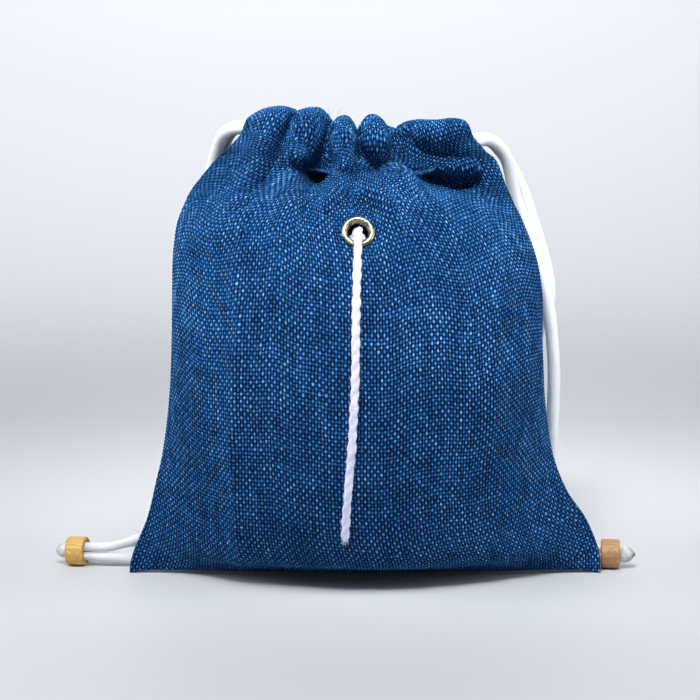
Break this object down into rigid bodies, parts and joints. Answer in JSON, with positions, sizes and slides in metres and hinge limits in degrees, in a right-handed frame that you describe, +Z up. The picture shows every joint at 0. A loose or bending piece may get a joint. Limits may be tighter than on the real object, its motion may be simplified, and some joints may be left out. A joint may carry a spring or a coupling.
{
  "type": "kinchaku drawstring pouch",
  "caption": "Standing blue jute drawstring pouch with a gathered hem, white cords ending in wooden beads, a brass eyelet and a white pull string.",
  "frame": {"origin": "middle of the base where the pouch stands, below the centre of the box round the pouch without its cords", "axes": "+Z up, -Y out of the front panel that carries the eyelet, +X to the right seen from the front"},
  "size_m": [0.2981, 0.1278, 0.2361],
  "materials": {
    "jute": "coarse plain weave, dyed blue, matt with a slight sheen on the fibres",
    "antique_brass": "antiqued, darker in the recesses",
    "white_cord": "smooth tight braid, soft sheen",
    "bead_wood_pale": "pale turned wood, satin",
    "bead_wood_brown": "browner turned wood, satin",
    "melted_cord": "cord ends melted into a cloudy blunt tip with a scorched rim",
    "white_yarn": "soft two-ply yarn with loose fibres",
    "navy_thread": "matt sewing thread"
  },
  "bodies": {
    "pouch": {"front_panel": "jute", "back_panel": "jute", "eyelet": "antique_brass", "eyelet_washer": "antique_brass", "left_cord": "white_cord", "right_cord": "white_cord", "left_cord_tip": "melted_cord", "right_cord_tip": "melted_cord", "pull_string": "white_yarn", "front_hem_thread": "navy_thread", "back_hem_thread": "navy_thread", "left_side_thread": "navy_thread", "right_side_thread": "navy_thread", "base_thread": "navy_thread"},
    "left_bead_body": {"left_bead": "bead_wood_pale"},
    "right_bead_body": {"right_bead": "bead_wood_brown"}
  },
  "joints": [
    {"name": "left_bead_slide", "type": "slide", "parent": "pouch", "child": "left_bead_body", "axis": [0.9781, -0.2079, 0], "range_m": [0, 0.01]},
    {"name": "right_bead_slide", "type": "slide", "parent": "pouch", "child": "right_bead_body", "axis": [-0.9903, 0.1392, 0], "range_m": [0, 0.01]}
  ]
}
